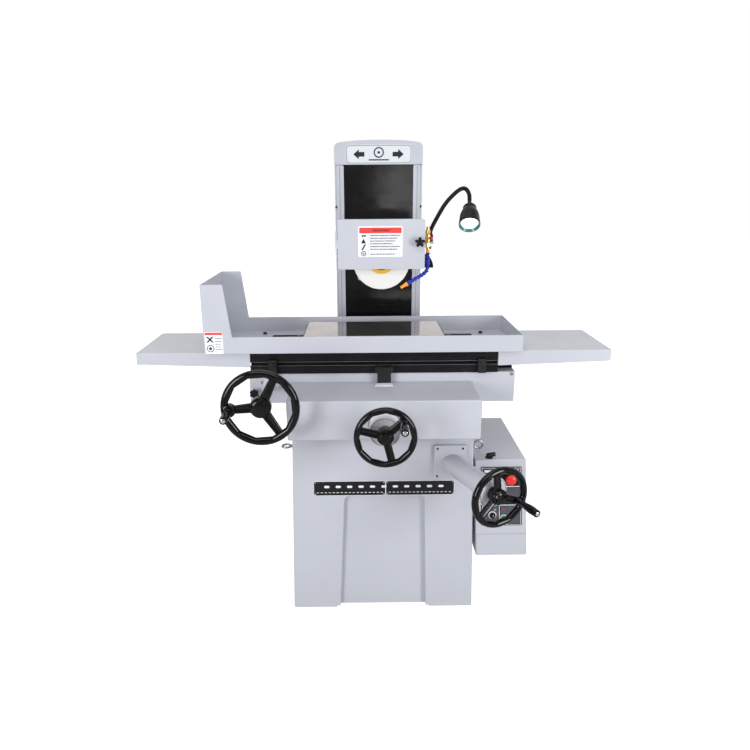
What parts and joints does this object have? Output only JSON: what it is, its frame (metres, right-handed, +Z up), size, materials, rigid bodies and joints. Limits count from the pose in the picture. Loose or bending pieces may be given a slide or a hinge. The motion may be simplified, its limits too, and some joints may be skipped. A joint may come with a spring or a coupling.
{
  "type": "surface grinder",
  "caption": "Manual horizontal-spindle surface grinder with cross saddle, reciprocating table, splash tray, magnetic chuck, guarded wheelhead on a column and hand feeds.",
  "frame": {"origin": "on the floor, under the middle of the whole machine's bounding box", "axes": "+X to the operator's right along the table's travel, +Y from the operator to the column, +Z up"},
  "size_m": [1.674, 1.4396, 1.716],
  "materials": {
    "grey_paint": "satin light blue-grey machine enamel",
    "black_paint": "gloss black enamel",
    "cast_iron": "scraped and blackened iron",
    "ground_steel": "surface-ground steel",
    "dark_steel": "oiled dark steel",
    "black_plastic": "glossy moulded phenolic",
    "black_rubber": "matte black rubber",
    "brass": "bright brass",
    "white_abrasive": "open-grained white aluminium oxide",
    "blue_plastic": "satin blue acetal",
    "red_plastic": "gloss red",
    "green_plastic": "gloss green",
    "orange_plastic": "satin orange acetal",
    "lamp_glass": "frosted lens",
    "label_white": "printed film label",
    "label_red": "printed film label",
    "yellow_card": "wheel blotter card",
    "bright_steel": "bright plated steel"
  },
  "bodies": {
    "base": {"base_casting": "grey_paint", "left_lifting_eye": "dark_steel", "right_lifting_eye": "dark_steel", "column_casting": "grey_paint", "column_cap": "grey_paint", "column_front_cover": "black_paint", "vertical_feed_tube": "grey_paint", "control_box": "grey_paint", "control_panel": "black_plastic", "cable_gland": "black_plastic", "cross_feed_nut": "brass"},
    "saddle": {"saddle_casting": "grey_paint", "vee_way": "cast_iron", "flat_way": "cast_iron", "table_travel_stop": "black_paint", "table_drive_belt": "black_rubber"},
    "table": {"table": "cast_iron", "table_rack": "dark_steel", "left_way_guard": "grey_paint", "right_way_guard": "grey_paint", "splash_tray": "grey_paint", "magnetic_chuck": "ground_steel"},
    "left_dog": {"left_stop_dog": "dark_steel"},
    "right_dog": {"right_stop_dog": "dark_steel"},
    "lock_knob": {"table_lock_knob": "black_plastic"},
    "table_wheel": {"table_handwheel": "black_plastic", "table_drive_shaft": "dark_steel"},
    "table_grip": {"table_handwheel_grip": "black_plastic"},
    "rack_pinion": {"rack_pinion_shaft": "dark_steel"},
    "cross_wheel": {"cross_handwheel": "black_plastic", "cross_feed_screw": "dark_steel", "cross_feed_dial": "ground_steel"},
    "cross_grip": {"cross_handwheel_grip": "black_plastic"},
    "vertical_wheel": {"vertical_handwheel": "black_plastic", "vertical_feed_shaft": "dark_steel", "vertical_feed_dial": "ground_steel"},
    "vertical_grip": {"vertical_handwheel_grip": "black_plastic"},
    "elevating_screw": {"elevating_screw": "dark_steel"},
    "wheelhead": {"wheelhead_housing": "grey_paint", "elevating_nut": "brass", "sliding_way_cover": "black_paint", "spindle_bearing": "dark_steel", "spindle_motor": "grey_paint", "wheel_guard": "grey_paint", "coolant_valve": "brass"},
    "telescopic_cover": {"telescopic_cover": "black_paint"},
    "spindle": {"spindle_shaft": "dark_steel", "grinding_wheel": "white_abrasive", "wheel_flange": "dark_steel"},
    "guard_door": {"guard_door": "grey_paint"},
    "door_knob": {"guard_door_knob": "black_plastic"},
    "lamp_arm": {"lamp_gooseneck": "black_rubber"},
    "lamp_head": {"lamp_head": "black_plastic", "lamp_lens": "lamp_glass"},
    "valve_lever": {"valve_lever": "red_plastic"},
    "coolant_hose": {"coolant_hose": "blue_plastic"},
    "emergency_stop": {"emergency_stop": "red_plastic"},
    "start_button": {"start_button": "green_plastic"},
    "stop_button": {"stop_button": "red_plastic"},
    "magnet_selector": {"magnet_selector": "black_plastic"}
  },
  "joints": [
    {"name": "saddle_feed", "type": "slide", "parent": "base", "child": "saddle", "axis": [0, 1, 0], "range_m": [-0.15, 0.11]},
    {"name": "table_feed", "type": "slide", "parent": "saddle", "child": "table", "axis": [1, 0, 0], "range_m": [-0.27646, 0.27646]},
    {"name": "wheelhead_feed", "type": "slide", "parent": "base", "child": "wheelhead", "axis": [0, 0, 1], "range_m": [-0.14, 0.147]},
    {"name": "telescopic_cover_slide", "type": "slide", "parent": "base", "child": "telescopic_cover", "axis": [0, 0, 1], "range_m": [-0.0701, 0.0736]},
    {"name": "table_wheel_turn", "type": "hinge", "parent": "saddle", "child": "table_wheel", "pos_m": [-0.3639, -0.5745, 0.875], "axis": [0, 1, 0], "range_deg": [-1219, 1219]},
    {"name": "rack_pinion_turn", "type": "hinge", "parent": "saddle", "child": "rack_pinion", "pos_m": [-0.1414, -0.1615, 0.875], "axis": [0, 1, 0], "range_deg": [-1219, 1219]},
    {"name": "cross_wheel_turn", "type": "hinge", "parent": "saddle", "child": "cross_wheel", "pos_m": [0.0286, -0.6215, 0.79], "axis": [0, 1, 0], "range_deg": [-10801, 7921]},
    {"name": "vertical_wheel_turn", "type": "hinge", "parent": "base", "child": "vertical_wheel", "pos_m": [0.3881, -0.6515, 0.5967], "axis": [-0.4067, 0.9135, 0], "range_deg": [-42340, 40330]},
    {"name": "elevating_screw_turn", "type": "hinge", "parent": "base", "child": "elevating_screw", "pos_m": [-0.0894, 0.4225, 1], "axis": [0, 0, 1], "range_deg": [-21172, 20165]},
    {"name": "table_grip_spin", "type": "hinge", "parent": "table_wheel", "child": "table_grip", "pos_m": [-0.46166, -0.5908, 0.86816], "axis": [0, -1, 0], "continuous": true},
    {"name": "cross_grip_spin", "type": "hinge", "parent": "cross_wheel", "child": "cross_grip", "pos_m": [0.08291, -0.6378, 0.84245], "axis": [0, -1, 0], "continuous": true},
    {"name": "vertical_grip_spin", "type": "hinge", "parent": "vertical_wheel", "child": "vertical_grip", "pos_m": [0.46125, -0.63677, 0.56875], "axis": [0.4067, -0.9135, 0], "continuous": true},
    {"name": "spindle_turn", "type": "hinge", "parent": "wheelhead", "child": "spindle", "pos_m": [0.0286, -0.1785, 1.286], "axis": [0, 1, 0], "continuous": true},
    {"name": "guard_door_swing", "type": "hinge", "parent": "wheelhead", "child": "guard_door", "pos_m": [-0.1289, -0.2075, 1.346], "axis": [0, 0, -1], "range_deg": [0, 110]},
    {"name": "door_knob_turn", "type": "hinge", "parent": "guard_door", "child": "door_knob", "pos_m": [0.1604, -0.2118, 1.354], "axis": [0, -1, 0], "range_deg": [0, 720]},
    {"name": "lamp_swivel", "type": "hinge", "parent": "wheelhead", "child": "lamp_arm", "pos_m": [0.2026, -0.1465, 1.35], "axis": [0, 0, 1], "range_deg": [-90, 60]},
    {"name": "lamp_tilt", "type": "hinge", "parent": "lamp_arm", "child": "lamp_head", "pos_m": [0.3382, -0.161, 1.48], "axis": [1, 0, 0], "range_deg": [-20, 40]},
    {"name": "valve_lever_turn", "type": "hinge", "parent": "wheelhead", "child": "valve_lever", "pos_m": [0.2004, -0.1765, 1.364], "axis": [1, 0, 0], "range_deg": [0, 90]},
    {"name": "hose_swivel", "type": "hinge", "parent": "wheelhead", "child": "coolant_hose", "pos_m": [0.1926, -0.1765, 1.3247], "axis": [0, 0, 1], "range_deg": [-20, 45]},
    {"name": "left_dog_slide", "type": "slide", "parent": "table", "child": "left_dog", "axis": [1, 0, 0], "range_m": [-0.06, 0.25]},
    {"name": "right_dog_slide", "type": "slide", "parent": "table", "child": "right_dog", "axis": [1, 0, 0], "range_m": [-0.25, 0.04]},
    {"name": "lock_knob_turn", "type": "hinge", "parent": "saddle", "child": "lock_knob", "pos_m": [-0.4274, -0.2848, 0.836], "axis": [0, -1, 0], "range_deg": [0, 360]},
    {"name": "emergency_stop_push", "type": "slide", "parent": "base", "child": "emergency_stop", "axis": [0, 1, 0], "range_m": [0, 0.006]},
    {"name": "start_button_push", "type": "slide", "parent": "base", "child": "start_button", "axis": [0, 1, 0], "range_m": [0, 0.003], "stiffness_N_per_m": 600},
    {"name": "stop_button_push", "type": "slide", "parent": "base", "child": "stop_button", "axis": [0, 1, 0], "range_m": [0, 0.003], "stiffness_N_per_m": 600},
    {"name": "magnet_selector_turn", "type": "hinge", "parent": "base", "child": "magnet_selector", "pos_m": [0.4271, -0.3823, 0.387], "axis": [0, -1, 0], "range_deg": [-45, 45]}
  ],
  "couplings": [
    {"joint": "telescopic_cover_slide", "follows": "wheelhead_feed", "ratio": 0.5},
    {"joint": "vertical_wheel_turn", "follows": "wheelhead_feed", "rad_per_m": -5026.5},
    {"joint": "elevating_screw_turn", "follows": "wheelhead_feed", "rad_per_m": -2513.3},
    {"joint": "table_wheel_turn", "follows": "table_feed", "rad_per_m": 76.923},
    {"joint": "rack_pinion_turn", "follows": "table_feed", "rad_per_m": 76.923},
    {"joint": "cross_wheel_turn", "follows": "saddle_feed", "rad_per_m": 1256.6}
  ]
}
